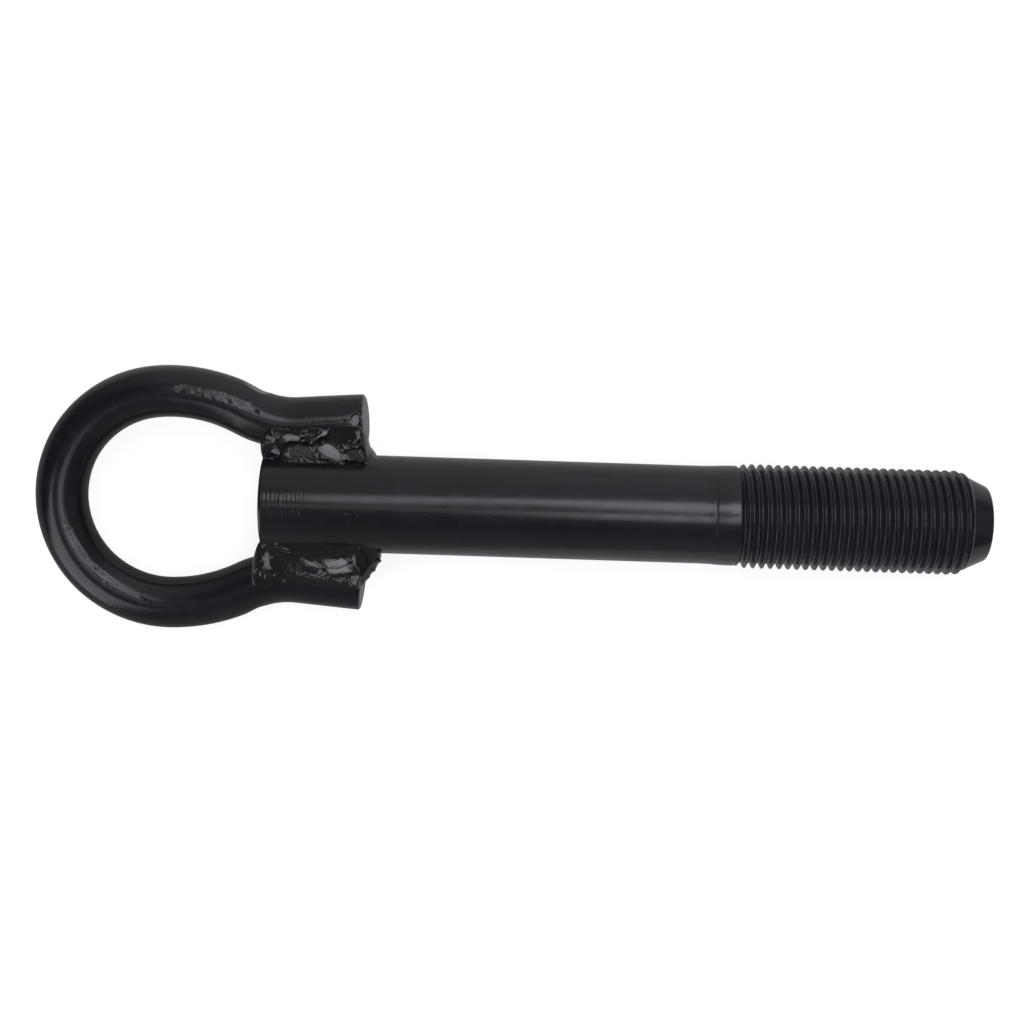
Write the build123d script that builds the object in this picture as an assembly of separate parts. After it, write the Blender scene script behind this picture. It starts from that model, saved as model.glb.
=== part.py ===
from build123d import *

# Screw-in tow eye: a round bar bent to an omega, welded astride a threaded shank.
# Millimetres. X runs along the shank towards the nose, and Z is up from the surface
# that the part lies on. The origin is on the shank's axis, where the full thread begins.
import os
from math import acos, asin, cos, degrees, radians, sin, tan

# Shank
shank_dia = 22.5
shank_length = 109.0  # plain length, up to the thread's run-out
shank_end_break = 0.5
thread_dia = 24.0  # over the crests
thread_root_dia = 21.5
thread_length = 45.8  # full crests
thread_runout = 2.8  # the crests rise from the shank over this length
thread_lead = 3.2  # the crests fall away to the root over this length
nose_tip_dia = 17.0
nose_half_angle = 25.0
nose_tip_radius = 0.8

# Eye bar
bar_dia = 11.8
bar_end_break = 0.4
eye_inside_dia = 37.4
eye_inside_length = 40.7  # from the crown to the shank's end
shoulder_bend_r = 40.0  # bends are measured at the bar's centre line
neck_bend_r = 22.5
leg_overlap = 22.7  # along the shank
leg_splay = 4.5
fit_up_gap = 0.7  # left between bar and shank for the weld

# Welds
weld_crown = 0.9  # rise of the face above the straight line between its toes
weld_toe_on_bar = 92.0  # degrees round the bar from its outer side
weld_end_round = 1.6
ripple_pitch = 6.0
ripple_height = 0.6
left_top_toe = 24.0  # degrees round the shank
left_top_reach = 0.3  # past the shank's end, into the eye
left_top_run_off = 2.0  # past the leg's end, along the shank
right_top_toe = 38.0
right_top_reach = 2.0
right_top_run_off = 4.2
bottom_toe = 30.0
bottom_reach = 0.8
bottom_run_off = 2.4
# Each bead: its side of the shank, its face of the eye, and its toe, reach and run-off
weld_beads = {
    "left_leg_top_weld": (1, 1, left_top_toe, left_top_reach, left_top_run_off),
    "right_leg_top_weld": (-1, 1, right_top_toe, right_top_reach, right_top_run_off),
    "left_leg_bottom_weld": (1, -1, bottom_toe, bottom_reach, bottom_run_off),
    "right_leg_bottom_weld": (-1, -1, bottom_toe, bottom_reach, bottom_run_off),
}

# Worked out from the sizes above
shank_r = shank_dia / 2
thread_r = thread_dia / 2
bar_r = bar_dia / 2
shank_end_x = -thread_runout - shank_length
crown_r = eye_inside_dia / 2 + bar_r
eye_x = shank_end_x - eye_inside_length + eye_inside_dia / 2
leg_end_x = shank_end_x + leg_overlap
waist_y = shank_r + fit_up_gap + bar_r
neck_angle = degrees(acos(1 - (crown_r - waist_y) / (shoulder_bend_r + neck_bend_r)))
rest_roll = degrees(asin((shank_r - bar_r) / crown_r))  # the eye drops on one side till it touches


def threaded_shank():
    thread_end_x = thread_length + thread_lead
    nose_length = (thread_root_dia - nose_tip_dia) / 2 / tan(radians(nose_half_angle))
    outline = Polyline(
        (shank_end_x, 0),
        (shank_end_x, shank_r - shank_end_break),
        (shank_end_x + shank_end_break, shank_r),
        (-thread_runout, shank_r),
        (0, thread_r),
        (thread_length, thread_r),
        (thread_end_x, thread_root_dia / 2),
        (thread_end_x + nose_length, nose_tip_dia / 2),
        (thread_end_x + nose_length, 0),
        close=True,
    )
    body = revolve(make_face(outline), Axis.X)
    tip = body.edges().filter_by(GeomType.CIRCLE).sort_by(Axis.X)[-1]
    return fillet(tip, nose_tip_radius)


def eye_bar():
    # Half of the omega, from the crown round to the leg's end, and its mirror image
    crown = JernArc((eye_x - crown_r, 0), (0, 1), crown_r, -90)
    shoulder = JernArc(crown @ 1, crown % 1, shoulder_bend_r, -neck_angle)
    neck = JernArc(shoulder @ 1, shoulder % 1, neck_bend_r, neck_angle + leg_splay)
    leg = PolarLine(neck @ 1, (leg_end_x - (neck @ 1).X) / cos(radians(leg_splay)), leg_splay)
    section = Plane(crown @ 0, x_dir=(-1, 0, 0), z_dir=crown % 0) * Circle(bar_r)
    half = sweep(section, path=Curve() + [crown, shoulder, neck, leg])
    cut_end = half.faces().sort_by(Axis.X)[-1]
    half = chamfer(cut_end.edges(), bar_end_break)
    return half + mirror(half, about=Plane.XZ)


def on_circle(radius, angle):
    return Vector(0, radius * cos(radians(angle)), radius * sin(radians(angle)))


def weld_bead(toe, reach, run_off, bar, shank):
    # The bead on the left leg's upper face: a rippled roll of weld metal in the valley
    length = reach + leg_overlap + run_off
    middle_x = shank_end_x - reach + length / 2
    waist_x = eye_x + (shoulder_bend_r + neck_bend_r) * sin(radians(neck_angle))
    leg_y = waist_y + (middle_x - waist_x) * tan(radians(leg_splay))

    bar_toe = Vector(0, leg_y, 0) + on_circle(bar_r, weld_toe_on_bar)
    shank_toe = on_circle(shank_r, toe)
    chord = bar_toe - shank_toe
    face_r = (chord.length**2 / 4 + weld_crown**2) / (2 * weld_crown)
    outward = chord.rotate(Axis.X, 90).normalized()
    centre = Vector(middle_x, 0, 0) + (bar_toe + shank_toe) / 2 - outward * (face_r - weld_crown)

    along = Vector(1, 0, 0).rotate(Axis.Z, leg_splay / 2)
    section = Plane(centre, x_dir=along, z_dir=(0, 0, 1))
    start, end = -length / 2, length / 2
    rippled = length - 2 * weld_end_round
    ripples = max(1, round(rippled / ripple_pitch))
    pitch = rippled / ripples
    face = [JernArc((start, face_r - weld_end_round), (0, 1), weld_end_round, -90)]
    for n in range(ripples):
        u = start + weld_end_round + n * pitch
        crest = (u + pitch / 2, face_r + ripple_height)
        face.append(ThreePointArc((u, face_r), crest, (u + pitch, face_r)))
    face.append(JernArc(face[-1] @ 1, (1, 0), weld_end_round, -90))
    core = Polyline(face[-1] @ 1, (end, 0), (start, 0), face[0] @ 0)
    roll = revolve(section * make_face([*face, core]), Axis(centre, along))

    # Its plan slants at both ends: into the eye, and from the leg's end down to the shank
    eye_slant = reach / (waist_y - bar_r - shank_toe.Y)
    run_slant = run_off / (leg_y - shank_toe.Y)
    plan = Polyline(
        (shank_end_x + eye_slant * shank_toe.Y, 0),
        (leg_end_x + run_slant * leg_y, 0),
        (leg_end_x, leg_y),
        (shank_end_x - eye_slant * (leg_y - shank_toe.Y), leg_y),
        close=True,
    )
    valley = extrude(make_face(plan), amount=2 * face_r)
    return (roll & valley) - bar - shank


def main():
    shank = threaded_shank()
    bar = eye_bar()
    parts = {"threaded_shank": shank, "eye_bar": Rot(X=rest_roll) * bar}
    for name, (side, face, *bead_sizes) in weld_beads.items():
        bead = weld_bead(*bead_sizes, bar, shank)
        if side < 0:
            bead = mirror(bead, about=Plane.XZ)
        if face < 0:
            bead = mirror(bead, about=Plane.XY)
        parts[name] = Rot(X=rest_roll) * bead
    os.makedirs("parts", exist_ok=True)
    for name, part in parts.items():
        export_step(part, f"parts/{name}.step")


main()
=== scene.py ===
import math

import bmesh
import bpy
from mathutils import Matrix, Vector, noise
from mathutils.kdtree import KDTree


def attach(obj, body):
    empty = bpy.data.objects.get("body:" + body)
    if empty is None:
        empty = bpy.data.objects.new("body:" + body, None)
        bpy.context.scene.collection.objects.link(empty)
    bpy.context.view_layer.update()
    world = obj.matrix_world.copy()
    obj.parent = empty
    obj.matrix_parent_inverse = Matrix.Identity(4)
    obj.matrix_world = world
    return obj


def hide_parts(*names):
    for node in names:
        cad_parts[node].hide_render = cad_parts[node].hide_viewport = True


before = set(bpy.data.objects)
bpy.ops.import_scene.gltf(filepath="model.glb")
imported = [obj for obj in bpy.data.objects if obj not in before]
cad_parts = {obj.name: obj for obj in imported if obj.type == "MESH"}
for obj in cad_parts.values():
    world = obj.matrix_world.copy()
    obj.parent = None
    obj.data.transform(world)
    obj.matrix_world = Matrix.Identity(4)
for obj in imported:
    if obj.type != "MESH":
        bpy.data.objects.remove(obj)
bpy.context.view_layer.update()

bpy.ops.object.select_all(action="DESELECT")  # the frame comes in selected
mm = 0.001
print("frame loaded:", ", ".join(sorted(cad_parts)))


# small helpers for working by hand in edit mode

def millimetres(*values):
    return tuple(v * mm for v in values)


def blendStep(value, low, high):
    t = min(1.0, max(0.0, (value - low) / (high - low)))
    return t * t * (3 - 2 * t)


def alongTable(x, table):
    # straight steps between the (x, value) pairs of a table
    if x <= table[0][0]:
        return table[0][1]
    for (x0, v0), (x1, v1) in zip(table, table[1:]):
        if x <= x1:
            return v0 + (v1 - v0) * (x - x0) / (x1 - x0)
    return table[-1][1]


def nearLine(x, y, points):
    # plan distance to a drawn line, and how far along it, from 0 to 1
    best, lengths = (1e9, 0.0), [math.dist(p, q) for p, q in zip(points, points[1:])]
    run = 0.0
    for (x0, y0), (x1, y1), length in zip(points, points[1:], lengths):
        t = max(0.0, min(1.0, ((x - x0) * (x1 - x0) + (y - y0) * (y1 - y0)) / length ** 2))
        gap = math.hypot(x - x0 - t * (x1 - x0), y - y0 - t * (y1 - y0))
        best = min(best, (gap, (run + t * length) / sum(lengths)))
        run += length
    return best


def inReach(x, y, points, reach):
    return (min(p[0] for p in points) - reach < x < max(p[0] for p in points) + reach
            and min(p[1] for p in points) - reach < y < max(p[1] for p in points) + reach)


def noiseSum(place, rows, shift=Vector()):
    # noise of several sizes added up: how fine, and its share
    return sum(share * noise.noise(place * fine + shift) for fine, share in rows)


def turnedAway(x, y, spot):
    # how far (x, y) is from the middle of a turned, rounded rectangle: 1 at its edge
    x0, y0, halfX, halfY, turn = spot[:5]
    if abs(x - x0) + abs(y - y0) > 1.5 * (halfX + halfY):
        return 1.0
    c, s = math.cos(math.radians(turn)), math.sin(math.radians(turn))
    u, v = (x - x0) * c + (y - y0) * s, (y - y0) * c - (x - x0) * s
    if abs(u) > halfX or abs(v) > halfY:
        return 1.0
    return (abs(u / halfX) ** 3 + abs(v / halfY) ** 3) ** (1 / 3)


def editPiece(piece):
    bpy.ops.object.select_all(action="DESELECT")
    piece.select_set(True)
    bpy.context.view_layer.objects.active = piece
    bpy.ops.object.mode_set(mode="EDIT")
    bpy.ops.mesh.select_mode(type="VERT")


def leaveEdit():
    bpy.ops.object.mode_set(mode="OBJECT")


def pick(piece, test):
    # selects the points whose place, in metres, passes
    bpy.ops.mesh.select_all(action="DESELECT")
    mesh = bmesh.from_edit_mesh(piece.data)
    for vert in mesh.verts:
        vert.select = bool(test(vert.co))
    mesh.select_flush_mode()
    bmesh.update_edit_mesh(piece.data)


def pickFaces(piece, test):
    # selects the faces whose middle, in millimetres, passes
    bpy.ops.mesh.select_mode(type="FACE")
    bpy.ops.mesh.select_all(action="DESELECT")
    mesh = bmesh.from_edit_mesh(piece.data)
    for face in mesh.faces:
        face.select = bool(test(face.calc_center_median() / mm))
    mesh.select_flush_mode()
    bmesh.update_edit_mesh(piece.data)


def pushOut(dx, dy, dz):
    bpy.ops.mesh.extrude_region_move(TRANSFORM_OT_translate={"value": millimetres(dx, dy, dz)})


def applied(piece, kind, **settings):
    modifier = piece.modifiers.new(kind.lower(), kind)
    for key, value in settings.items():
        setattr(modifier, key, value)
    bpy.ops.object.modifier_apply(modifier=modifier.name)


def moveVerts(piece, place):
    # place() takes a point in millimetres and gives back where it goes
    for vert in piece.data.vertices:
        vert.co = Vector(place(vert.co / mm)) * mm
    piece.data.update()


def cleanMesh(piece, reach=0.002):
    editPiece(piece)
    bpy.ops.mesh.select_all(action="SELECT")
    bpy.ops.mesh.remove_doubles(threshold=reach * mm)
    bpy.ops.mesh.normals_make_consistent(inside=False)
    leaveEdit()


def finishPiece(piece, name, node, finish, smoothAngle):
    piece.name = piece.data.name = name
    bpy.ops.object.select_all(action="DESELECT")
    piece.select_set(True)
    bpy.context.view_layer.objects.active = piece
    bpy.ops.object.shade_smooth_by_angle(angle=math.radians(smoothAngle))
    piece.data.materials.clear()
    piece.data.materials.append(finish)
    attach(piece, "root")
    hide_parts(node)
    print("made", name, len(piece.data.polygons), "faces")


# black paint

def addNode(tree, kind, **values):
    node = tree.nodes.new(kind)
    for key, value in values.items():
        if key in node.inputs:
            node.inputs[key].default_value = value
        else:
            setattr(node, key, value)
    return node


paintLook = dict(
    ior=1.5,
    dark=(0.0122, 0.012, 0.0152, 1), light=(0.0179, 0.0175, 0.0223, 1),
    patchScale=95.0, patchFrom=0.35, patchTo=0.7,
    glossScale=240.0, glossFrom=0.3, glossTo=0.75, roughLow=0.17, roughHigh=0.27,
    peelScale=1500.0, peel=0.000014, nibScale=260.0, nibSize=0.06, nibShare=0.8, nibRise=0.00005,
)
weldLook = dict(
    paintLook, ior=1.62, dark=(0.0098, 0.0096, 0.0122, 1), light=(0.0143, 0.014, 0.0178, 1),
    roughLow=0.16, roughHigh=0.28, peelScale=1700.0, peel=0.000018, nibScale=420.0,
)
# the shank's paint is thinner and bluer on the thread, and its tone there is also raised as painted light that
# lifts the shade in the thread's grooves: share of its tone along the axis
shankLookAndGrooveLight = dict(
    paintLook, dark=(0.0235, 0.0245, 0.031, 1), light=(0.0335, 0.0345, 0.043, 1),
    tonesAndGrooveLight=((-80.0, (0.52, 0.49, 0.49, 1)), (-3.4, (0.64, 0.61, 0.61, 1)), (-2.2, (1, 1, 1, 1)),
           (47.2, (1, 1, 1, 1)), (48.6, (0.7, 0.66, 0.66, 1))),
    toneFrom=-0.09, toneTo=0.06,
)


def paintFinish(name, look):
    finish = bpy.data.materials.new(name)
    finish.use_nodes = True
    tree = finish.node_tree
    tree.nodes.clear()
    link = tree.links.new
    out = addNode(tree, "ShaderNodeOutputMaterial")
    shader = addNode(tree, "ShaderNodeBsdfPrincipled")
    shader.inputs["IOR"].default_value = look["ior"]
    link(shader.outputs[0], out.inputs[0])
    place = addNode(tree, "ShaderNodeTexCoord")

    # tone in soft patches
    patches = addNode(tree, "ShaderNodeTexNoise", Scale=look["patchScale"], Detail=4.0, Roughness=0.6)
    link(place.outputs["Object"], patches.inputs["Vector"])
    tone = addNode(tree, "ShaderNodeValToRGB")
    tone.color_ramp.elements[0].color = look["dark"]
    tone.color_ramp.elements[0].position = look["patchFrom"]
    tone.color_ramp.elements[1].color = look["light"]
    tone.color_ramp.elements[1].position = look["patchTo"]
    link(patches.outputs["Fac"], tone.inputs["Fac"])
    # tone along the axis: on the shank this lightens the thread, partly its own bluer coat, partly painted light in
    # its grooves
    if "tonesAndGrooveLight" in look:
        split = addNode(tree, "ShaderNodeSeparateXYZ")
        way = addNode(tree, "ShaderNodeMapRange")
        way.inputs["From Min"].default_value = look["toneFrom"]
        way.inputs["From Max"].default_value = look["toneTo"]
        share = addNode(tree, "ShaderNodeValToRGB")
        stops = share.color_ramp.elements
        while len(stops) < len(look["tonesAndGrooveLight"]):
            stops.new(0.5)
        for stop, (x, colour) in zip(stops, look["tonesAndGrooveLight"]):
            stop.position = (x * mm - look["toneFrom"]) / (look["toneTo"] - look["toneFrom"])
            stop.color = colour
        both = addNode(tree, "ShaderNodeMix", data_type="RGBA", blend_type="MULTIPLY")
        both.inputs[0].default_value = 1.0
        link(place.outputs["Object"], split.inputs[0])
        link(split.outputs["X"], way.inputs["Value"])
        link(way.outputs["Result"], share.inputs["Fac"])
        link(tone.outputs["Color"], both.inputs[6])
        link(share.outputs["Color"], both.inputs[7])
        link(both.outputs[2], shader.inputs["Base Color"])
    else:
        link(tone.outputs["Color"], shader.inputs["Base Color"])

    # gloss that comes and goes
    gloss = addNode(tree, "ShaderNodeTexNoise", Scale=look["glossScale"], Detail=5.0, Roughness=0.65)
    link(place.outputs["Object"], gloss.inputs["Vector"])
    glossRange = addNode(tree, "ShaderNodeMapRange")
    glossRange.inputs["From Min"].default_value = look["glossFrom"]
    glossRange.inputs["From Max"].default_value = look["glossTo"]
    glossRange.inputs["To Min"].default_value = look["roughLow"]
    glossRange.inputs["To Max"].default_value = look["roughHigh"]
    link(gloss.outputs["Fac"], glossRange.inputs["Value"])
    link(glossRange.outputs["Result"], shader.inputs["Roughness"])

    # fine orange peel
    peel = addNode(tree, "ShaderNodeTexNoise", Scale=look["peelScale"], Detail=3.0, Roughness=0.5)
    link(place.outputs["Object"], peel.inputs["Vector"])
    bump = addNode(tree, "ShaderNodeBump", Strength=1.0, Distance=look["peel"])
    link(peel.outputs["Fac"], bump.inputs["Height"])

    # here and there a grain of dust under the paint
    grains = addNode(tree, "ShaderNodeTexVoronoi", Scale=look["nibScale"])
    link(place.outputs["Object"], grains.inputs["Vector"])
    nib = addNode(tree, "ShaderNodeMapRange", interpolation_type="SMOOTHSTEP")
    nib.inputs["From Max"].default_value = look["nibSize"]
    nib.inputs["To Min"].default_value = 1.0
    nib.inputs["To Max"].default_value = 0.0
    link(grains.outputs["Distance"], nib.inputs["Value"])
    chosen = addNode(tree, "ShaderNodeSeparateColor")
    link(grains.outputs["Color"], chosen.inputs["Color"])
    few = addNode(tree, "ShaderNodeMath", operation="GREATER_THAN")
    few.inputs[1].default_value = look["nibShare"]
    link(chosen.outputs["Red"], few.inputs[0])
    rise = addNode(tree, "ShaderNodeMath", operation="MULTIPLY")
    link(nib.outputs["Result"], rise.inputs[0])
    link(few.outputs[0], rise.inputs[1])
    nibBump = addNode(tree, "ShaderNodeBump", Strength=1.0, Distance=look["nibRise"])
    link(rise.outputs[0], nibBump.inputs["Height"])
    link(bump.outputs["Normal"], nibBump.inputs["Normal"])
    link(nibBump.outputs["Normal"], shader.inputs["Normal"])
    return finish


blackPaint = paintFinish("blackPaint", paintLook)
shankPaintAndGrooveLight = paintFinish("shankPaintAndGrooveLight", shankLookAndGrooveLight)
weldPaint = paintFinish("weldPaint", weldLook)


# threaded shank

shankSizes = dict(
    endX=-111.8, shankR=11.25,
    # the broken edge of its far end, and the rim of the flat: back from the end, in from the side
    endEdge=((0.5, 0.0), (0.12, 0.2), (0.0, 0.5), (0.0, 1.5)),
    swellR=11.5, swellX=(-11.5, -5.0),  # the shank swells a little towards the thread
    # rings: first on the swell, then the plain length, then fine ones where the ripples are
    swellRing=-5.5, swellRings=7, plainStep=1.1, plainRings=80, fineStep=0.2, fineRings=59,
    pitch=2.02, crestR=12.0, rootR=10.75, firstTooth=-7.18, turns=30, steps=128,
    # one tooth, from the middle of a root to the crest
    tooth=((0.0, 10.75), (0.16, 10.77), (0.29, 10.9), (0.52, 11.32), (0.76, 11.77), (0.87, 11.945),
           (0.94, 11.988), (1.01, 12.0)),
    # where the thread is cut off at each end, and how its crests and roots run there
    runOut=-4.6, leadIn=49.4,
    crestLine=((-3.9, 11.5), (-3.2, 11.5), (-1.7, 12.0), (46.4, 12.0), (47.8, 11.75), (48.5, 11.35),
               (48.9, 10.8), (49.4, 10.56), (60.0, 5.7)),
    rootLine=((-3.9, 11.5), (-2.6, 10.75), (60.0, 10.75)),
    noseEnd=53.825, noseLean=25.0, noseSteps=(0.25, 0.5, 0.75), tipR=8.5, tipRound=0.8, tipSteps=6, tipFlat=1.2,
    # a fine turned line behind the thread
    witnessX=-8.92, witnessDeep=0.06, witnessHalf=0.22,
    witnessShape=((-1, 0.0), (-0.5, 0.6), (0, 1.0), (0.5, 0.6), (1, 0.0)),
    marksX=(-111.2, -60.0),  # all marks lie between these
    # tool ripples near the eye end: span, how they fade at its ends, spacing, depth,
    # and the rows they show in (y, half width, share)
    rippleX=(-111.1, -100.2), rippleFade=(0.5, 2.5), rippleStep=0.93, rippleDeep=0.014,
    rippleRows=((-0.1, 1.7, 1.0), (-2.75, 0.6, 5.0)),
    # spatter beside the right weld: how far round it the faces are finer, and by how many cuts;
    # x, y, radius, height of each
    spatterReach=0.9, spatterCuts=4,
    spatter=((-92.0, -2.9, 0.42, 0.09), (-91.2, -4.5, 0.36, 0.08), (-89.6, -3.4, 0.5, 0.1),
             (-88.3, -4.2, 0.34, 0.07), (-86.5, -5.0, 0.46, 0.09), (-97.3, -6.1, 0.36, 0.08),
             (-66.1, -4.1, 0.4, 0.08), (-61.2, -5.1, 0.36, 0.07)),
    smoothAngle=40,
)


def ringTo(fromX, x, r0, r1):
    # extrudes the ring that is selected, and opens or closes it
    pushOut(x - fromX, 0, 0)
    bpy.ops.transform.resize(value=(1, r1 / r0, r1 / r0), center_override=millimetres(x, 0, 0))


def plainRadius(x):
    # the shank's radius behind the thread
    s = shankSizes
    far, near = s["swellX"]
    return s["swellR"] + (s["shankR"] - s["swellR"]) * blendStep(-x, -near, -far)


def makeShank():
    s = shankSizes
    # one tooth is drawn point by point, repeated along the axis and wound one turn
    bpy.ops.mesh.primitive_circle_add(vertices=3, radius=1 * mm)
    piece = bpy.context.object
    editPiece(piece)
    bpy.ops.mesh.select_all(action="SELECT")
    bpy.ops.mesh.merge(type="CENTER")
    half = list(s["tooth"])
    profile = half + [(s["pitch"] - x, r) for x, r in half[-2::-1]]
    bpy.ops.transform.translate(value=millimetres(s["firstTooth"], profile[0][1], 0))
    for (x0, r0), (x1, r1) in zip(profile, profile[1:]):
        pushOut(x1 - x0, r1 - r0, 0)
    leaveEdit()
    applied(piece, "ARRAY", count=s["turns"], use_relative_offset=False, use_constant_offset=True,
            constant_offset_displace=millimetres(s["pitch"], 0, 0), use_merge_vertices=True,
            merge_threshold=0.002 * mm)
    applied(piece, "SCREW", axis="X", angle=2 * math.pi, screw_offset=s["pitch"] * mm,
            steps=s["steps"], render_steps=s["steps"], use_merge_vertices=False)
    cleanMesh(piece)

    rising = s["crestLine"][:4]

    def turned(p):
        # the crests rise out of the shank and fall away to the nose, the roots run out
        r = math.hypot(p.y, p.z)
        depth = (r - s["rootR"]) / (s["crestR"] - s["rootR"])
        low = alongTable(p.x, s["rootLine"])
        full = low + depth * (min(s["crestR"], alongTable(p.x, rising)) - low)
        newR = min(full, alongTable(p.x, s["crestLine"]))
        return p.x, p.y * newR / r, p.z * newR / r

    moveVerts(piece, turned)
    editPiece(piece)
    for x, side in ((s["runOut"], 1), (s["leadIn"], -1)):
        bpy.ops.mesh.select_all(action="SELECT")
        bpy.ops.mesh.bisect(plane_co=millimetres(x, 0, 0), plane_no=(side, 0, 0), clear_inner=True,
                            threshold=0.0001 * mm)

    # the plain shank, drawn out of the first ring to its far end
    pick(piece, lambda p: abs(p.x / mm - s["runOut"]) < 0.001)
    rings = [(s["swellRing"] - n, plainRadius(s["swellRing"] - n)) for n in range(s["swellRings"])]
    rings = [row for row in rings if abs(row[0] - s["witnessX"]) > s["witnessHalf"]]
    for step, share in s["witnessShape"]:
        x = s["witnessX"] + step * s["witnessHalf"]
        rings.append((x, plainRadius(x) - s["witnessDeep"] * share))
    rings.sort(reverse=True)
    for step, count in ((s["plainStep"], s["plainRings"]), (s["fineStep"], s["fineRings"])):
        lastX = rings[-1][0]
        rings += [(lastX - n * step, s["shankR"]) for n in range(1, count + 1)]
    rings += [(s["endX"] + back, s["shankR"] - inward) for back, inward in s["endEdge"]]
    x0, r0 = s["runOut"], s["swellR"]
    for x, r in rings:
        ringTo(x0, x, r0, r)
        x0, r0 = x, r
    bpy.ops.mesh.edge_face_add()

    # the nose, to its rounded tip
    pick(piece, lambda p: abs(p.x / mm - s["leadIn"]) < 0.001)
    x0, r0 = s["leadIn"], alongTable(s["leadIn"], s["crestLine"])
    lean = math.radians(s["noseLean"])
    tipX = s["noseEnd"] - s["tipRound"]
    tipCentreR = s["tipR"] - s["tipRound"] * math.tan((math.pi / 2 - lean) / 2)
    turns = [lean + (math.pi / 2 - lean) * k / s["tipSteps"] for k in range(s["tipSteps"] + 1)]
    rounding = [(tipX + s["tipRound"] * math.sin(a), tipCentreR + s["tipRound"] * math.cos(a)) for a in turns]
    coneLine = ((x0, r0), rounding[0])
    cone = [(x, alongTable(x, coneLine)) for x in [x0 + (tipX - x0) * t for t in s["noseSteps"]]]
    for x, r in cone + rounding + [(s["noseEnd"], tipCentreR - s["tipFlat"])]:
        ringTo(x0, x, r0, r)
        x0, r0 = x, r
    bpy.ops.mesh.edge_face_add()

    # finer faces under the spatter
    for x, y, radius in [row[:3] for row in s["spatter"]]:
        pickFaces(piece, lambda c: c.z > 0 and math.hypot(c.x - x, c.y - y) < radius + s["spatterReach"])
        bpy.ops.mesh.subdivide(number_cuts=s["spatterCuts"])
    leaveEdit()
    cleanMesh(piece, reach=0.0005)
    marksFrom, marksTo = s["marksX"]
    rippleFrom, rippleTo = s["rippleX"]
    fadeIn, fadeOut = s["rippleFade"]

    def marked(p):
        # ripples and spatter, on the upper side of the plain shank
        if p.z < 0 or p.x > marksTo or p.x < marksFrom:
            return p
        r = s["shankR"]
        if rippleFrom < p.x < rippleTo:
            ends = blendStep(p.x, rippleFrom, rippleFrom + fadeIn) * blendStep(-p.x, -rippleTo, -rippleTo + fadeOut)
            drift = noise.noise(Vector((p.x * 0.9, p.y * 0.35, 3.0)))
            wander = 0.5 * noise.noise(Vector((p.x * 1.3, 7.0, 0)))
            wave = math.sin(2 * math.pi * (p.x / s["rippleStep"] + 0.35 * drift))
            for y, half, share in s["rippleRows"]:
                near = 1 - blendStep(abs(p.y - y + wander), half * 0.45, half)
                r += s["rippleDeep"] * share * near * ends * wave * (0.75 + drift)
        for x, y, radius, high in s["spatter"]:
            gap = math.hypot(p.x - x, p.y - y) / radius
            if gap < 1:
                r += high * (1 - gap * gap) ** 2
        size = r / math.hypot(p.y, p.z)
        return p.x, p.y * size, p.z * size

    moveVerts(piece, marked)
    finishPiece(piece, "threaded_shank_visual", "threaded_shank", shankPaintAndGrooveLight, s["smoothAngle"])


makeShank()


# eye bar

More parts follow.
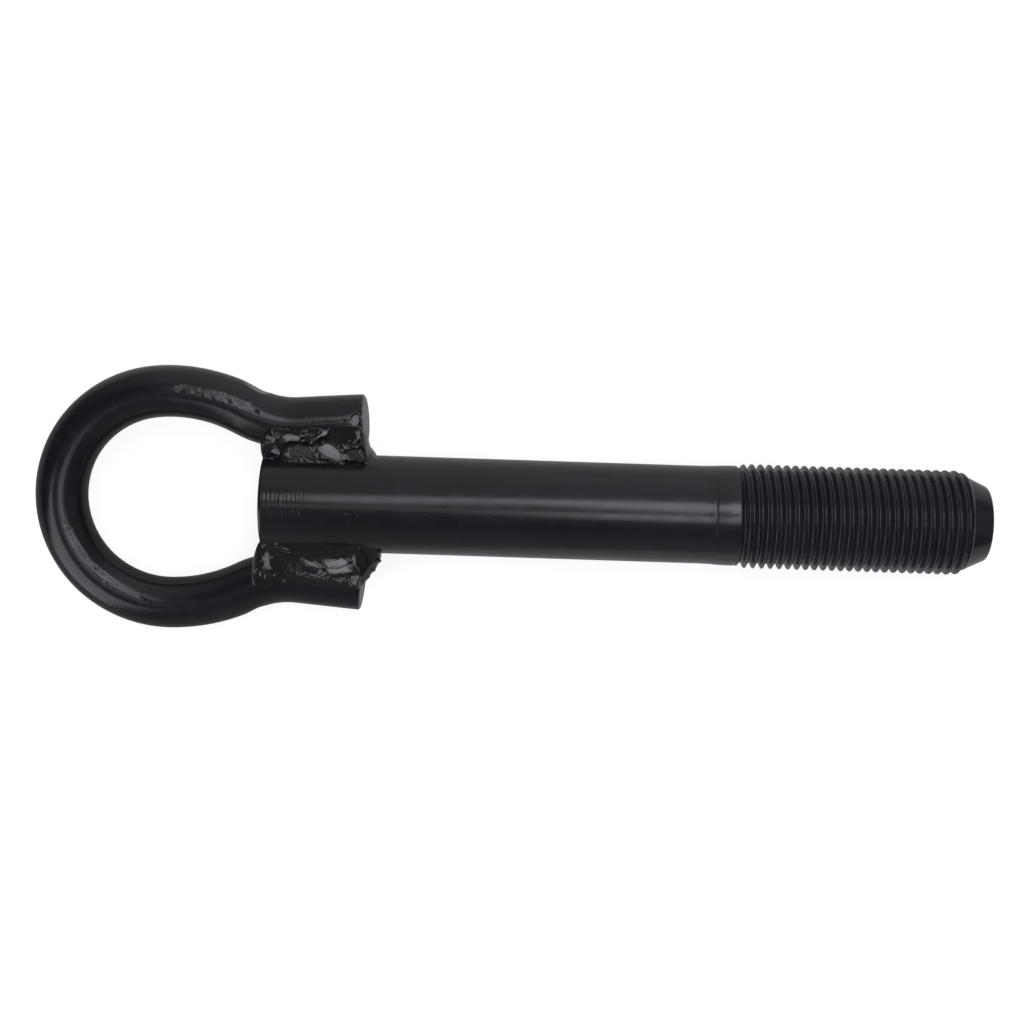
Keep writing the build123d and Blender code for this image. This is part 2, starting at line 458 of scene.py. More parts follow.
barSizes = dict(
    barR=5.9, around=128, legSteps=26, smoothAngle=40,
    # the broken edge of the cut ends; out along the bar by a share of it, in from the side
    endBreak=0.4, endEdge=((0.6, 0.15), (0.4, 0.4), (0.0, 2.5)),
    eyeX=-133.8, crownR=24.6, shoulderR=40.0, neckR=22.5, neckAngle=26.87, waistY=17.85,
    legEndX=-89.1, splay=4.5, roll=12.561, step=0.34,
    # bent by hand: how far the bar stands out of its true line, by the angle round the eye
    stray=((20, 0.36), (40, 0.38), (60, 0.4), (80, 0.22), (95, 0.0), (130, -0.15), (160, -0.1), (180, 0.0),
           (200, 0.12), (225, 0.24), (250, 0.2), (270, 0.17), (290, 0.1), (315, -0.03), (335, 0.05)),
    # the bending die's flat on each neck: middle and half length along the bar, depth
    dieFlats=((1, 18.9, 3.6, 0.5), (-1, 19.1, 3.4, 0.5)),
    # each cut end: shift along the bar, and lean; over which length before the end they come in
    cuts=((1, 0.3, 0.061), (-1, 0.2, 0.035)), cutFade=(4.0, 0.5),
    # a knock at the left leg's end: x, y, half length, half width, turn, rise along x and y, lift
    knock=(-90.7, 18.2, 1.3, 2.1, -25, -0.13, -0.073, -0.34), knockCuts=3,
    # worn strips: line along the bar, half width, how flat, roughness, grain
    stripCuts=2,
    strips=(
        (((-131.2, 23.9), (-128.6, 24.3), (-124.4, 23.4), (-121.1, 22.7), (-116.9, 21.4), (-112.3, 19.5)),
         1.15, 0.85, 0.018, 3.0),
        (((-156.5, -6.0), (-154.2, -10.7), (-150.8, -15.8), (-146.1, -20.0), (-140.5, -22.4), (-138.2, -23.4)),
         0.8, 0.8, 0.018, 1.9),
        (((-133.9, -24.7), (-128.5, -25.2), (-123.8, -24.9)), 0.4, 1.0, 0.014, 2.2),
        (((-144.5, 22.0), (-138.9, 22.9), (-133.3, 23.4)), 0.35, 0.8, 0.008, 2.0),
        (((-101.0, 17.5), (-96.0, 17.9), (-91.5, 18.2)), 0.5, 0.8, 0.02, 2.2),
    ),
    # dents: x, y, half length, half width, turn, depth
    dents=(
        (-149.2, -16.9, 1.1, 0.5, -40, 0.09), (-147.8, -17.9, 1.0, 0.45, -35, 0.07),
        (-147.2, -20.1, 0.8, 0.5, -30, 0.07), (-145.9, -19.5, 0.7, 0.4, -30, 0.05),
        (-138.9, -23.7, 1.4, 0.9, -20, 0.06), (-137.4, -24.1, 0.8, 0.5, 10, 0.05),
        (-119.5, -27.0, 0.6, 0.5, 0, 0.13), (-119.2, 21.6, 0.9, 0.6, -25, 0.1),
        (-120.7, 21.1, 0.7, 0.5, 0, 0.07), (-112.8, 19.7, 1.0, 0.45, -50, 0.13),
        (-126.0, 23.2, 1.2, 0.35, -15, 0.05), (-154.8, -0.3, 0.7, 0.6, 0, 0.05),
        (-93.4, 18.2, 0.6, 0.4, 30, 0.06), (-91.9, 18.9, 0.7, 0.5, -20, 0.05),
    ),
)


def spinRing(angle, radius, x, y):
    # spin turns clockwise, seen from above, for a positive angle
    steps = max(4, round(abs(math.radians(angle)) * radius / barSizes["step"]))
    bpy.ops.mesh.spin(steps=steps, angle=math.radians(angle), center=millimetres(x, y, 0), axis=(0, 0, 1))


def waist():
    # where the necks are narrowest
    b = barSizes
    return b["eyeX"] + (b["shoulderR"] + b["neckR"]) * math.sin(math.radians(b["neckAngle"]))


def alongBar(x, y):
    # on a shoulder or neck: way along the bar from the top of the eye,
    # distance out of its middle line, and the outward direction
    b = barSizes
    turn = math.radians(b["neckAngle"])
    waistX = waist()
    if x < b["eyeX"] or x > waistX:
        return None
    dx, dy = x - b["eyeX"], y + b["shoulderR"] - b["crownR"]
    if math.atan2(dx, dy) < turn:
        r = math.hypot(dx, dy)
        return b["shoulderR"] * math.atan2(dx, dy), r - b["shoulderR"], dx / r, dy / r
    dx, dy = waistX - x, b["waistY"] + b["neckR"] - y
    r = math.hypot(dx, dy)
    return b["shoulderR"] * turn + b["neckR"] * (turn - math.atan2(dx, dy)), b["neckR"] - r, dx / r, dy / r


def makeEyeBar():
    b = barSizes
    splay = math.radians(b["splay"])
    waistX = waist()
    neckX = waistX + b["neckR"] * math.sin(splay)
    neckY = b["waistY"] + b["neckR"] * (1 - math.cos(splay))
    legLength = (b["legEndX"] - neckX) / math.cos(splay)
    legY = neckY + legLength * math.sin(splay)

    bpy.ops.mesh.primitive_circle_add(vertices=b["around"], radius=b["barR"] * mm,
                                      location=millimetres(b["legEndX"], legY, 0),
                                      rotation=(0, math.pi / 2, splay))
    piece = bpy.context.object
    bpy.ops.object.transform_apply(location=True, rotation=True, scale=True)
    editPiece(piece)
    bpy.ops.mesh.select_all(action="SELECT")
    # the left leg, then round the eye to the right leg's end
    stepX, stepY = (legLength / b["legSteps"] * part for part in (math.cos(splay), math.sin(splay)))
    for n in range(b["legSteps"]):
        pushOut(-stepX, -stepY, 0)
    spinRing(b["neckAngle"] + b["splay"], b["neckR"], waistX, b["waistY"] + b["neckR"])
    spinRing(-b["neckAngle"], b["shoulderR"], b["eyeX"], b["crownR"] - b["shoulderR"])
    spinRing(-180, b["crownR"], b["eyeX"], 0)
    spinRing(-b["neckAngle"], b["shoulderR"], b["eyeX"], b["shoulderR"] - b["crownR"])
    spinRing(b["neckAngle"] + b["splay"], b["neckR"], waistX, -b["waistY"] - b["neckR"])
    for n in range(b["legSteps"]):
        pushOut(stepX, -stepY, 0)
    # broken edges and flat faces at the two cut ends
    for side in (-1, 1):
        out = Vector((math.cos(splay), side * math.sin(splay), 0))
        centre = Vector((b["legEndX"], side * legY, 0))
        pick(piece, lambda p: abs((p / mm - centre).dot(out)) < 0.01 and p.y * side > 0)
        bpy.ops.transform.translate(value=-out * b["endBreak"] * mm)
        ringNow = b["barR"]
        for push, shrink in b["endEdge"]:
            pushOut(*(out * (b["endBreak"] * push)))
            where = [v.co.copy() for v in bmesh.from_edit_mesh(piece.data).verts if v.select]
            middle = sum(where, Vector()) / len(where)
            bpy.ops.transform.resize(value=((b["barR"] - shrink) / ringNow,) * 3, center_override=middle)
            ringNow = b["barR"] - shrink
        bpy.ops.mesh.edge_face_add()
    leaveEdit()
    cleanMesh(piece)
    fadeFrom, fadeTo = b["cutFade"]

    def bentByHand(p):
        x, y, z = p
        side = 1 if y > 0 else -1
        # flats that the bending die left where the shoulders turn into the necks
        out = alongBar(x, abs(y))
        for flatSide, middle, half, deep in b["dieFlats"]:
            if side == flatSide and out and abs(out[0] - middle) < half:
                over = out[1] - b["barR"] + deep * (1 - ((out[0] - middle) / half) ** 2)
                if over > 0:
                    x, y = x - over * out[2], y - over * out[3] * side
        for cutSide, shift, lean in b["cuts"]:
            if side == cutSide:
                x += (shift - lean * z) * blendStep(x, b["legEndX"] - fadeFrom, b["legEndX"] - fadeTo)
        angle = math.degrees(math.atan2(y, x - b["eyeX"])) % 360
        stray = alongTable(angle, b["stray"])
        away = Vector((min(0.0, x - b["eyeX"]), y)).normalized()
        return x + stray * away.x, y + stray * away.y, z

    moveVerts(piece, bentByHand)
    piece.rotation_euler.x = math.radians(b["roll"])  # as it lies on the floor
    bpy.ops.object.transform_apply(location=True, rotation=True, scale=True)

    # finer faces under the worn strips
    editPiece(piece)
    lean = math.tan(math.radians(b["roll"]))
    for points, half in [row[:2] for row in b["strips"]]:
        pickFaces(piece, lambda c: c.z > c.y * lean + 2 and inReach(c.x, c.y, points, half)
                  and nearLine(c.x, c.y, points)[0] < half)
        bpy.ops.mesh.subdivide(number_cuts=b["stripCuts"])
    knock = b["knock"]
    knockX, knockY = knock[:2]
    riseX, riseY, lift = knock[5:]
    pickFaces(piece, lambda c: c.z > 5 and turnedAway(c.x, c.y, knock) < 1)
    bpy.ops.mesh.subdivide(number_cuts=b["knockCuts"])
    leaveEdit()

    # worn strips and dents, pressed in along the surface's own normals
    mesh = piece.data
    mesh.update()
    moved = []
    knockZ = max(v.co.z for v in mesh.vertices if math.dist(v.co.xy / mm, (knockX, knockY)) < 0.6) / mm + lift
    for vert in mesh.vertices:
        x, y, z = vert.co / mm
        deep = 0.0
        if vert.normal.z > 0.3:
            for points, half, flat, rough, grain in b["strips"]:
                gap, share = nearLine(x, y, points) if inReach(x, y, points, half) else (half, 0)
                ragged = 0.35 * noise.noise(Vector((x, y, 5.0)) * 0.8)
                ragged += 0.2 * noise.noise(Vector((x, y, 2.0)) * 2.2)
                gap = max(0.0, gap + half * (0.22 + ragged))
                if gap < half:
                    ends = blendStep(share, 0.0, 0.06) * blendStep(1 - share, 0.0, 0.06)
                    chord = math.sqrt(b["barR"] ** 2 - gap ** 2) - math.sqrt(b["barR"] ** 2 - half ** 2)
                    coarse = noise.noise(Vector((x, y, 0.0)) * grain)
                    coarse += 0.6 * noise.noise(Vector((x, y, 9.0)) * grain * 2.1)
                    deep += ends * (flat * chord + rough * coarse * (1 - blendStep(gap, half * 0.7, half)))
            for spot in b["dents"]:
                away = turnedAway(x, y, spot)
                if away < 1:
                    deep += spot[5] * (1 - blendStep(away, 0.2, 1.0))
            away = turnedAway(x, y, knock)
            if away < 1:
                plane = knockZ + riseX * (x - knockX) + riseY * (y - knockY)
                deep += max(0.0, z - plane) * (1 - blendStep(away, 0.7, 1.0))
        moved.append(vert.co - vert.normal * deep * mm)
    for vert, place in zip(mesh.vertices, moved):
        vert.co = place
    mesh.update()
    finishPiece(piece, "eye_bar_visual", "eye_bar", blackPaint, b["smoothAngle"])


makeEyeBar()


# weld beads, in the two valleys between the legs and the shank, front and back

beadShape = dict(
    around=96, rings=150, endRound=1.3, slopeRound=3.0, shankR=11.25,
    bury=0.25, root=1.2, rootTurn=135.0,  # how far the toes and the root go into the bars, and where in the leg
    fullWidth=6.0, rippleStep=3.1,  # a narrower bead is lower; spacing of the ripples
    skewFrom=18.1, skewSpan=9.6, skewRun=5.0,  # a slanted start: from this y, over this width, along this length
    # share of the way from the bar's toe to the shank's, and rise above the straight line
    face=((0.04, 0.05), (0.14, 0.32), (0.32, 0.62), (0.5, 0.72), (0.68, 0.62), (0.86, 0.32), (0.96, 0.05)),
    # the face's grain, the crust of its rough patches, and how ragged the facets' edges are: fineness, share
    grainLayers=((0.7, 1.0), (1.7, 0.5), (4.1, 0.25)), crustLayers=((2.4, 1.0), (5.2, 0.6)),
    raggedX=((0.8, 0.5), (2.6, 0.2)), raggedY=((0.8, 0.4), (2.6, 0.2)),
    flatEdge=0.45, roughEdge=0.5,  # where facets and rough patches begin to fade
    smoothAngle=60,
)

leftTopWeld = dict(
    side=1, top=1, startX=-112.0, endX=-85.4, barToe=92.5, shankToe=25.5, lift=0.8, ripple=0.0,
    # past the leg's end: along the shank, out from the axis, height
    runOff=((-89.1, 17.3, 5.6), (-88.7, 17.2, 4.7), (-88.4, 17.0, 3.4), (-88.15, 16.2, 2.0), (-88.0, 14.4, 1.2),
            (-87.85, 13.3, 0.8), (-87.4, 12.4, 0.6), (-86.8, 11.8, 0.6), (-86.2, 11.4, 0.8), (-85.4, 11.3, 1.0)),
    # facets of the face: x, y, half length, half width, turn, rise along x and y, lift, strength
    flats=(
        (-107.2, 15.4, 2.4, 1.0, 0, 0.0, 0.6, -0.15, 0.9), (-100.0, 15.7, 2.4, 1.0, 0, 0.0, 0.6, -0.15, 0.9),
        (-93.3, 14.8, 5.4, 3.6, 0, 0.0, 0.55, -0.75, 0.95), (-102.9, 10.9, 5.3, 3.1, -6, -0.02, 0.12, -0.78, 0.92),
        (-90.9, 10.6, 3.2, 2.2, 0, -0.02, 0.14, -0.8, 0.9), (-96.2, 11.3, 4.8, 2.6, -30, -0.13, -0.073, -0.6, 0.95),
        (-104.7, 14.1, 3.1, 1.6, 14, -0.147, -0.068, -0.3, 0.95),
        (-110.6, 11.0, 2.6, 2.7, 0, 0.05, 0.8, -0.25, 0.9), (-109.6, 13.7, 1.9, 1.0, -15, 0.38, 0.34, 0.0, 0.8),
        (-108.3, 10.7, 1.6, 0.8, -25, 0.3, 0.3, 0.05, 0.8), (-98.1, 14.7, 2.2, 0.7, 35, -0.13, -0.073, 0.25, 0.95),
        (-90.4, 8.7, 3.4, 0.75, 0, 0.0, -1.0, -0.35, 0.95), (-109.4, 8.7, 3.2, 0.75, 0, 0.0, -1.0, -0.35, 0.95),
    ),
    # grains and crumbs: x, y, radius, height
    lumps=(
        (-94.5, 12.5, 0.38, 0.16), (-93.4, 12.8, 0.34, 0.14), (-91.8, 13.7, 0.36, 0.16),
        (-91.2, 12.6, 0.36, 0.15), (-90.6, 12.7, 0.34, 0.15),
        (-101.5, 15.3, 0.5, 0.2), (-96.6, 16.2, 0.4, 0.15), (-105.5, 8.5, 0.6, 0.25),
        (-104.1, 8.4, 0.55, 0.25), (-103.0, 8.9, 0.6, 0.22), (-101.6, 8.9, 0.5, 0.22), (-99.4, 8.9, 0.5, 0.2),
        (-94.6, 9.0, 0.45, 0.18), (-97.1, 8.9, 0.4, 0.15), (-92.9, 9.1, 0.4, 0.14),
    ),
    # rough patches: x, y, half length, half width, turn, height
    rough=((-103.5, 9.4, 4.0, 0.9, 0, 0.05), (-109.6, 13.7, 1.6, 1.0, -15, 0.015),
           (-91.2, 12.9, 2.2, 0.9, 0, 0.02)),
    grooves=(), teeth=(), grain=0.04,
)
rightTopWeld = dict(
    side=-1, top=1, startX=-114.1, endX=-84.4, barToe=91.0, shankToe=41.0, lift=0.9, ripple=0.0,
    skew=1.5, slopeRound=1.3,
    face=((0.04, 0.05), (0.14, 0.3), (0.32, 0.5), (0.5, 0.45), (0.68, 0.28), (0.86, 0.08), (0.96, 0.01)),
    runOff=((-89.1, 18.6, 5.0), (-88.0, 17.6, 4.3), (-87.2, 16.4, 3.9), (-86.3, 15.2, 3.6), (-85.4, 14.0, 3.6),
            (-84.8, 13.2, 3.8), (-84.4, 12.4, 4.0)),
    flats=(
        (-111.0, -14.2, 9.0, 9.0, 0, 0.0, 0.42, -0.15, 0.97),
        (-88.8, -13.0, 1.4, 2.4, 0, -0.15, 0.6, 0.0, 0.6), (-97.4, -17.0, 6.6, 1.0, -4, -0.1, -0.08, 0.0, 0.7),
        (-94.1, -14.6, 4.9, 3.2, 10, -0.128, -0.117, 0.1, 0.97),
        (-99.9, -14.2, 3.8, 0.75, -24, -0.13, -0.117, 0.1, 0.95),
        (-110.2, -13.7, 1.6, 2.3, 0, 0.4, 0.42, -0.15, 0.85),
        (-94.6, -17.5, 3.8, 0.8, -3, -0.12, -0.11, 0.05, 0.8),
        (-90.2, -17.6, 1.4, 2.2, 0, -0.128, -0.117, 0.0, 0.85),
    ),
    lumps=(
        (-112.6, -16.2, 0.6, 0.25), (-111.5, -16.9, 0.55, 0.22), (-110.5, -17.5, 0.5, 0.2),
        (-106.2, -18.3, 0.45, 0.18), (-110.7, -10.5, 0.6, 0.22), (-107.8, -9.9, 0.5, 0.2),
        (-108.3, -17.0, 0.45, 0.15), (-109.2, -15.6, 0.5, 0.15), (-103.1, -16.3, 0.4, 0.14),
        (-101.6, -16.4, 0.45, 0.16), (-100.3, -16.9, 0.5, 0.18), (-99.1, -17.2, 0.45, 0.2),
        (-98.0, -16.8, 0.5, 0.2), (-97.0, -17.4, 0.45, 0.18), (-96.0, -17.1, 0.5, 0.2), (-94.9, -17.6, 0.45, 0.18),
        (-93.8, -17.2, 0.45, 0.16), (-92.7, -17.7, 0.4, 0.15), (-98.6, -17.9, 0.35, 0.12),
        (-95.5, -18.2, 0.35, 0.12),
    ),
    rough=((-110.3, -14.2, 1.5, 2.4, 0, 0.05), (-90.2, -17.6, 1.3, 2.0, 0, 0.045),
           (-97.4, -17.1, 6.4, 0.9, -4, 0.05), (-110.5, -17.2, 2.2, 1.0, -15, 0.06)),
    # folds pressed into the face: line, half width, depth
    grooves=(
        (((-97.3, -14.4), (-96.4, -15.0), (-93.9, -14.8), (-92.0, -14.1), (-91.7, -13.2)), 0.2, 0.1),
        (((-109.6, -10.9), (-108.3, -10.5), (-106.6, -10.5), (-105.2, -11.0)), 0.3, 0.1),
        (((-108.2, -11.6), (-106.6, -11.3), (-105.0, -11.6)), 0.3, 0.1),
    ),
    # ragged end: x, y, reach, push along x
    teeth=(
        (-85.1, -11.1, 0.8, 0.6), (-85.1, -13.0, 0.7, 0.7), (-86.2, -15.2, 0.8, 0.4),
        (-85.2, -12.1, 0.6, -0.45), (-85.8, -14.1, 0.6, -0.35), (-87.2, -17.0, 0.8, 0.3),
    ),
    grain=0.03,
)
leftBottomWeld = dict(
    side=1, top=-1, startX=-112.5, endX=-86.4, barToe=92.0, shankToe=30.0, lift=0.9, ripple=0.22,
    runOff=((-89.1, 17.2, 5.3), (-88.7, 16.6, 4.6), (-88.4, 14.4, 4.1), (-88.0, 12.8, 4.0), (-87.2, 12.0, 4.0),
            (-86.4, 11.4, 4.0)),
)
rightBottomWeld = dict(
    leftBottomWeld, side=-1, startX=-112.7, endX=-86.2,
    runOff=((-89.1, 17.2, 5.3), (-88.4, 16.0, 4.6), (-87.6, 14.6, 4.1), (-86.9, 13.4, 4.0), (-86.2, 12.6, 4.0)),
)


def legCentre(x):
    # how far from the axis the leg's middle is
    b = barSizes
    splay = math.radians(b["splay"])
    waistX = waist()
    neckX = waistX + b["neckR"] * math.sin(splay)
    if x > neckX:
        return b["waistY"] + b["neckR"] * (1 - math.cos(splay)) + (x - neckX) * math.tan(splay)
    return b["waistY"] + b["neckR"] * (1 - math.cos(math.asin((x - waistX) / b["neckR"])))


def onCircle(y, radius, degrees):
    return Vector((y + radius * math.cos(math.radians(degrees)), radius * math.sin(math.radians(degrees))))


def beadSection(w, x):
    # closed outline across the valley: bar's toe, face, shank's toe, and the root, which is hidden
    b, shape = barSizes, beadShape
    bury, root, shankR = shape["bury"], shape["root"], shape["shankR"]
    shankToe = onCircle(0, shankR, w["shankToe"])
    if x < b["legEndX"]:
        y = legCentre(x)
        barToe = onCircle(y, b["barR"], w["barToe"])
        barIn = onCircle(y, b["barR"] - bury, w["barToe"] - 5)
        barRoot = onCircle(y, b["barR"] - root, shape["rootTurn"])
    else:
        out = alongTable(x, [(row[0], row[1]) for row in w["runOff"]])
        high = alongTable(x, [(row[0], row[2]) for row in w["runOff"]])
        barToe = barIn = Vector((out, high))
        barRoot = Vector((out + 0.15, -0.2))
    across = shankToe - barToe
    outward = Vector((-across.y, across.x)).normalized() * -1
    if outward.y < 0:
        outward = -outward
    lift = w["lift"] * min(1.0, across.length / shape["fullWidth"])
    lift += w["ripple"] * abs(math.sin(math.pi * (x - w["startX"]) / shape["rippleStep"])) * 2
    points = [barIn]
    points += [barToe + across * t + outward * rise * lift for t, rise in w.get("face", shape["face"])]
    points += [onCircle(0, shankR - bury, w["shankToe"] + 3), onCircle(0, shankR - root, w["shankToe"] - 6),
               Vector((shankR - 0.3, -0.2)), Vector((min(shankR + 0.6, barRoot.x - 0.1), -0.25)), barRoot]
    return points


def evenRound(points, count):
    # the outline again with evenly spaced points
    closed = points + points[:1]
    lengths = [(q - p).length for p, q in zip(closed, closed[1:])]
    total, found, run, n = sum(lengths), [], 0.0, 0
    for k in range(count):
        want = total * k / count
        while run + lengths[n] < want:
            run += lengths[n]
            n += 1
        t = (want - run) / max(lengths[n], 1e-9)
        found.append(closed[n] + (closed[n + 1] - closed[n]) * t)
    return found


def workFace(piece, w):
    # facets, folds, crumbs and grain of the face that shows, as it lies on the floor
    shape = beadShape
    mesh = piece.data
    mesh.update()
    faceUp = [vert for vert in mesh.vertices if vert.normal.z > 0.05]
    tree = KDTree(len(faceUp))
    for k, vert in enumerate(faceUp):
        tree.insert((vert.co.x, vert.co.y, 0), k)
    tree.balance()
    flats = []
    for row in w["flats"]:
        flatX, flatY = row[:2]
        riseX, riseY, lift, strength = row[5:]
        found = faceUp[tree.find(millimetres(flatX, flatY, 0))[1]]
        flats.append((row, flatX, flatY, riseX, riseY, found.co.z / mm + lift, strength))
    over = Vector((0, 0, 7))  # a second reading of the same noise
    steep = [blendStep(vert.normal.z, 0.05, 0.45) for vert in faceUp]
    for vert, hold in zip(faceUp, steep):
        x, y, z = vert.co / mm
        here = Vector((x, y, 0.0))
        z += hold * w["grain"] * noiseSum(here, shape["grainLayers"])
        # facets with ragged edges
        warpX = x + noiseSum(here, shape["raggedX"])
        warpY = y + noiseSum(here, shape["raggedY"], over)
        for row, flatX, flatY, riseX, riseY, middle, strength in flats:
            away = turnedAway(warpX, warpY, row)
            if away < 1:
                plane = middle + riseX * (x - flatX) + riseY * (y - flatY)
                z += (plane - z) * strength * (1 - blendStep(away, shape["flatEdge"], 1.0))
        for spot in w["rough"]:
            away = turnedAway(warpX, warpY, spot)
            if away < 1:
                z += spot[5] * (1 - blendStep(away, shape["roughEdge"], 1.0)) * noiseSum(here, shape["crustLayers"])
        for lumpX, lumpY, radius, high in w["lumps"]:
            gap = ((x - lumpX) ** 2 + (y - lumpY) ** 2) / radius ** 2
            if gap < 1:
                z += high * (1 - gap) ** 2
        for points, half, deep in w["grooves"]:
            gap = nearLine(x, y, points)[0] if inReach(x, y, points, half) else half
            if gap < half:
                z -= deep * (1 - blendStep(gap, 0.0, half))
        for toothX, toothY, reach, push in w["teeth"]:
            gap = ((x - toothX) ** 2 + (y - toothY) ** 2) / reach ** 2
            if gap < 1:
                x += push * (1 - gap) ** 2
        vert.co = millimetres(x, y, z)
    mesh.update()


def makeBead(name, node, w):
    shape = beadShape
    bpy.ops.mesh.primitive_uv_sphere_add(segments=shape["around"], ring_count=shape["rings"], radius=1)
    piece = bpy.context.object
    sections = {}

    def drawn(p):
        # the ball is drawn out along the valley, with its poles at the two ends
        p = p * mm
        t = max(-1.0, min(1.0, p.z))
        x = w["startX"] + (w["endX"] - w["startX"]) * (t + 1) / 2
        key = round(x, 5)
        if key not in sections:
            outline = evenRound(beadSection(w, x), shape["around"])
            sections[key] = (outline, sum(outline, Vector((0, 0))) / len(outline))
        outline, middle = sections[key]
        k = math.atan2(p.y, p.x) / (2 * math.pi) * shape["around"]
        point = outline[round(k) % shape["around"]]
        fromEnd = min(x - w["startX"], w["endX"] - x)
        close = 1.0
        if fromEnd < shape["endRound"]:
            close = math.sqrt(max(0.0, 1 - (1 - fromEnd / shape["endRound"]) ** 2))
        slope = close
        slopeRound = w.get("slopeRound", shape["slopeRound"])
        if x - w["startX"] < slopeRound and point.y > middle.y:
            slope = math.sqrt(max(0.0, 1 - (1 - (x - w["startX"]) / slopeRound) ** 2))
        if abs(t) > 0.99999:
            close = slope = 0.0
        y, z = middle.x + (point.x - middle.x) * close, middle.y + (point.y - middle.y) * slope
        # the start may lie aslant, later beside the shank than beside the bar
        late = w.get("skew", 0.0) * (1 - blendStep(x - w["startX"], 0.0, shape["skewRun"]))
        late *= max(0.0, shape["skewFrom"] - y) / shape["skewSpan"]
        return x + late, y * w["side"], z * w["top"]

    moveVerts(piece, drawn)
    cleanMesh(piece)
    applied(piece, "SMOOTH", factor=0.5, iterations=3)
    piece.rotation_euler.x = math.radians(barSizes["roll"])
    bpy.ops.object.transform_apply(location=True, rotation=True, scale=True)
    if w["top"] > 0:
        applied(piece, "SUBSURF", levels=1, render_levels=1)
        workFace(piece, w)
    finishPiece(piece, name, node, weldPaint, shape["smoothAngle"])


makeBead("left_leg_top_weld_visual", "left_leg_top_weld", leftTopWeld)
makeBead("right_leg_top_weld_visual", "right_leg_top_weld", rightTopWeld)
makeBead("left_leg_bottom_weld_visual", "left_leg_bottom_weld", leftBottomWeld)
makeBead("right_leg_bottom_weld_visual", "right_leg_bottom_weld", rightBottomWeld)


# studio

studio = dict(
    floorZ=-12.0, floorSize=3000.0, seenColour=(0.4, 0.4, 0.4, 1), seenGlow=0.86, mirroredGlow=0.04,
    # the floor is paler behind and beside the part than in front, painted shade that shows in its reflections and
    # bounced light while the camera sees it evenly white: direction, from, to, two levels
    floorShadeWay=(0.6, 0.6, 0), floorShadeFrom=-0.1, floorShadeTo=-0.05, floorShadeLevels=(0.38, 0.9),
    # level of the surroundings from front (0) to back (1), fading to the sides
    sky=((0.0, 0.32), (0.15, 0.1), (0.3, 0.2), (0.4, 0.05), (0.48, 0.02), (0.58, 0.04), (0.66, 0.08), (0.74, 0.6),
         (1.0, 0.75)),
    skyLeft=(-1.08, 0.66), skyRight=(0.99, 0.11), skySide=0.1, tint=(1.0, 0.985, 1.06),
    # name, x, y, height, width, depth, turn, level, spread, and the point it faces
    lamps=(
        ("backStrip", 248, 359, 1400, 518, 544, 23.3, 3.6, 180, (285, 0, 0)),
        ("backStripLeft", -209, 205, 1400, 443, 181, 76.5, 3.2, 180, (-215, 0, 0)),
        ("frontStrip", 360, -190, 1400, 796, 330, 14.5, 2.95, 180, (322, 0, 0)),
        ("leftFill", -265, -252, 1400, 262, 132, 39.0, 1.5, 180, (-200, 0, 0)),
        ("sideWindow", -770, -643, 418, 549, 1018, -4.0, 1.87, 180, (-150, -10, 0)),
        ("rightFill", 900, 0, 520, 900, 900, 0.0, 0.16, 180, (0, 0, 0)),
        ("loopLamp", -147, -40, 100, 56, 37, -8.0, 0.053, 32, (-158, 0, 5)),
    ),
)


def makeFloor():
    bpy.ops.mesh.primitive_grid_add(x_subdivisions=2, y_subdivisions=2, size=studio["floorSize"] * mm,
                                    location=millimetres(0, 0, studio["floorZ"]))
    floor = bpy.context.object
    floor.name = "studio_floor"
    finish = bpy.data.materials.new("paleFloor")
    finish.use_nodes = True
    tree = finish.node_tree
    tree.nodes.clear()
    link = tree.links.new
    out = addNode(tree, "ShaderNodeOutputMaterial")
    plain = addNode(tree, "ShaderNodeBsdfDiffuse")
    place = addNode(tree, "ShaderNodeTexCoord")
    # painted shade: the floor's own colour darkens towards the front of the part
    along = addNode(tree, "ShaderNodeVectorMath", operation="DOT_PRODUCT")
    along.inputs[1].default_value = studio["floorShadeWay"]
    fall = addNode(tree, "ShaderNodeMapRange", interpolation_type="SMOOTHSTEP")
    fall.inputs["From Min"].default_value = studio["floorShadeFrom"]
    fall.inputs["From Max"].default_value = studio["floorShadeTo"]
    fall.inputs["To Min"].default_value, fall.inputs["To Max"].default_value = studio["floorShadeLevels"]
    link(place.outputs["Object"], along.inputs[0])
    link(along.outputs["Value"], fall.inputs["Value"])
    link(fall.outputs["Result"], plain.inputs["Color"])
    mirrored = addNode(tree, "ShaderNodeEmission", Color=(1, 1, 1, 1))
    seen = addNode(tree, "ShaderNodeBsdfDiffuse", Color=studio["seenColour"])
    seenGlow = addNode(tree, "ShaderNodeEmission", Color=(1, 1, 1, 1), Strength=studio["seenGlow"])
    plainSum = addNode(tree, "ShaderNodeAddShader")
    seenSum = addNode(tree, "ShaderNodeAddShader")
    mix = addNode(tree, "ShaderNodeMixShader")
    rays = addNode(tree, "ShaderNodeLightPath")
    shine = addNode(tree, "ShaderNodeMath", operation="MAXIMUM")
    amount = addNode(tree, "ShaderNodeMath", operation="MULTIPLY")
    amount.inputs[1].default_value = studio["mirroredGlow"]
    link(rays.outputs["Is Glossy Ray"], shine.inputs[0])
    link(rays.outputs["Is Transmission Ray"], shine.inputs[1])
    link(shine.outputs[0], amount.inputs[0])
    link(amount.outputs[0], mirrored.inputs["Strength"])
    link(plain.outputs[0], plainSum.inputs[0])
    link(mirrored.outputs[0], plainSum.inputs[1])
    link(seen.outputs[0], seenSum.inputs[0])
    link(seenGlow.outputs[0], seenSum.inputs[1])
    link(rays.outputs["Is Camera Ray"], mix.inputs["Fac"])
    link(plainSum.outputs[0], mix.inputs[1])
    link(seenSum.outputs[0], mix.inputs[2])
    link(mix.outputs[0], out.inputs[0])
    floor.data.materials.append(finish)
    print("floor laid")


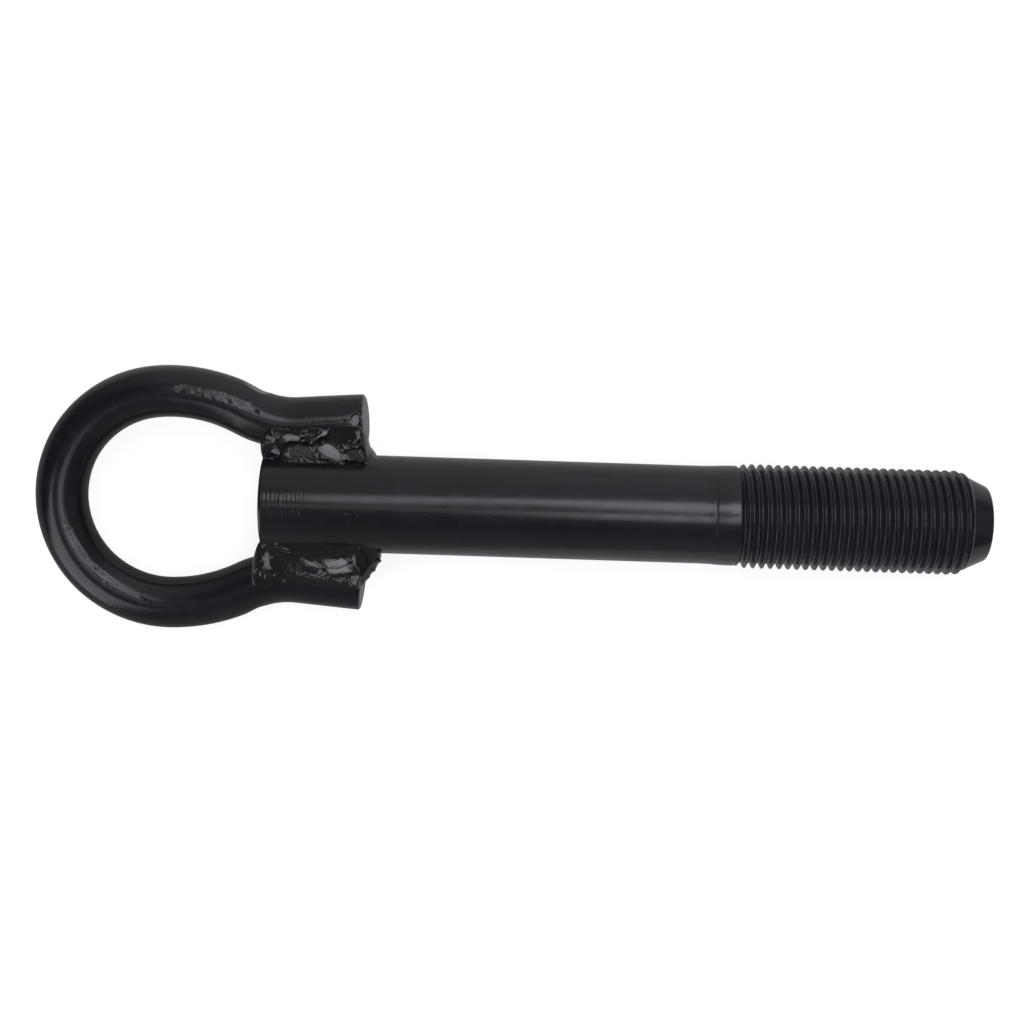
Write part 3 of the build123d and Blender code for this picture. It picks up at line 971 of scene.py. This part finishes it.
def makeSurroundings():
    # a soft tent of light, white where the camera sees it
    world = bpy.data.worlds.new("studioWorld")
    bpy.context.scene.world = world
    world.use_nodes = True
    tree = world.node_tree
    tree.nodes.clear()
    link = tree.links.new
    out = addNode(tree, "ShaderNodeOutputWorld")
    tent = addNode(tree, "ShaderNodeBackground", Strength=1.0)
    white = addNode(tree, "ShaderNodeBackground", Color=(1, 1, 1, 1), Strength=1.0)
    mix = addNode(tree, "ShaderNodeMixShader")
    rays = addNode(tree, "ShaderNodeLightPath")
    place = addNode(tree, "ShaderNodeTexCoord")
    split = addNode(tree, "ShaderNodeSeparateXYZ")
    spread = addNode(tree, "ShaderNodeMapRange")
    spread.inputs["From Min"].default_value = -1
    spread.inputs["From Max"].default_value = 1
    ramp = addNode(tree, "ShaderNodeValToRGB")
    stops = ramp.color_ramp.elements
    while len(stops) < len(studio["sky"]):
        stops.new(0.5)
    for stop, (where, level) in zip(stops, studio["sky"]):
        stop.position = where
        stop.color = (*(level * t for t in studio["tint"]), 1)
    link(place.outputs["Generated"], split.inputs[0])
    link(split.outputs["Y"], spread.inputs["Value"])
    link(spread.outputs["Result"], ramp.inputs["Fac"])
    link(ramp.outputs["Color"], tent.inputs["Color"])
    fades = []
    for low, high in (studio["skyLeft"], studio["skyRight"]):
        fade = addNode(tree, "ShaderNodeMapRange", interpolation_type="SMOOTHSTEP")
        fade.inputs["From Min"].default_value = low
        fade.inputs["From Max"].default_value = high
        fade.inputs["To Min"].default_value = studio["skySide"]
        link(split.outputs["X"], fade.inputs["Value"])
        fades.append(fade)
    both = addNode(tree, "ShaderNodeMath", operation="MULTIPLY")
    link(fades[0].outputs["Result"], both.inputs[0])
    link(fades[1].outputs["Result"], both.inputs[1])
    link(both.outputs[0], tent.inputs["Strength"])
    link(rays.outputs["Is Camera Ray"], mix.inputs["Fac"])
    link(tent.outputs[0], mix.inputs[1])
    link(white.outputs[0], mix.inputs[2])
    link(mix.outputs[0], out.inputs[0])
    print("surroundings lit")


def hangLamps():
    for name, x, y, z, width, depth, turn, level, spread, faces in studio["lamps"]:
        bpy.ops.object.light_add(type="AREA", location=millimetres(x, y, z))
        lamp = bpy.context.object
        lamp.name = name
        lamp.data.shape = "RECTANGLE"
        lamp.data.size = width * mm
        lamp.data.size_y = depth * mm
        lamp.data.energy = level * math.pi * width * depth * mm * mm
        lamp.data.spread = math.radians(spread)
        lamp.data.color = studio["tint"]
        lamp.visible_camera = False
        aim = (Vector(faces) - Vector((x, y, z))).to_track_quat("-Z", "Y").to_matrix()
        lamp.rotation_euler = (aim @ Matrix.Rotation(math.radians(turn), 3, "Z")).to_euler()
    print("lamps hung:", len(studio["lamps"]))


makeFloor()
makeSurroundings()
hangLamps()


# camera, straight above, as in the photograph
view = dict(
    x=-54.80, y=-10.74, z=379.85, tilt=1.5, turn=1.845,
    focal=1651.33, image=1024,  # in pixels of the photograph
    sensor=36.0, clipFrom=0.01, clipTo=50,
)


def makeCamera():
    bpy.ops.object.camera_add(location=millimetres(view["x"], view["y"], view["z"]))
    camera = bpy.context.object
    turn = Matrix.Rotation(math.radians(view["tilt"]), 4, "X") @ Matrix.Rotation(math.radians(view["turn"]), 4, "Z")
    camera.rotation_euler = turn.to_euler()
    camera.data.sensor_width = view["sensor"]
    camera.data.lens = view["focal"] / view["image"] * view["sensor"]
    camera.data.clip_start = view["clipFrom"]
    camera.data.clip_end = view["clipTo"]
    bpy.context.scene.camera = camera
    print("camera set")


makeCamera()
bpy.context.scene.view_settings.view_transform = "Standard"
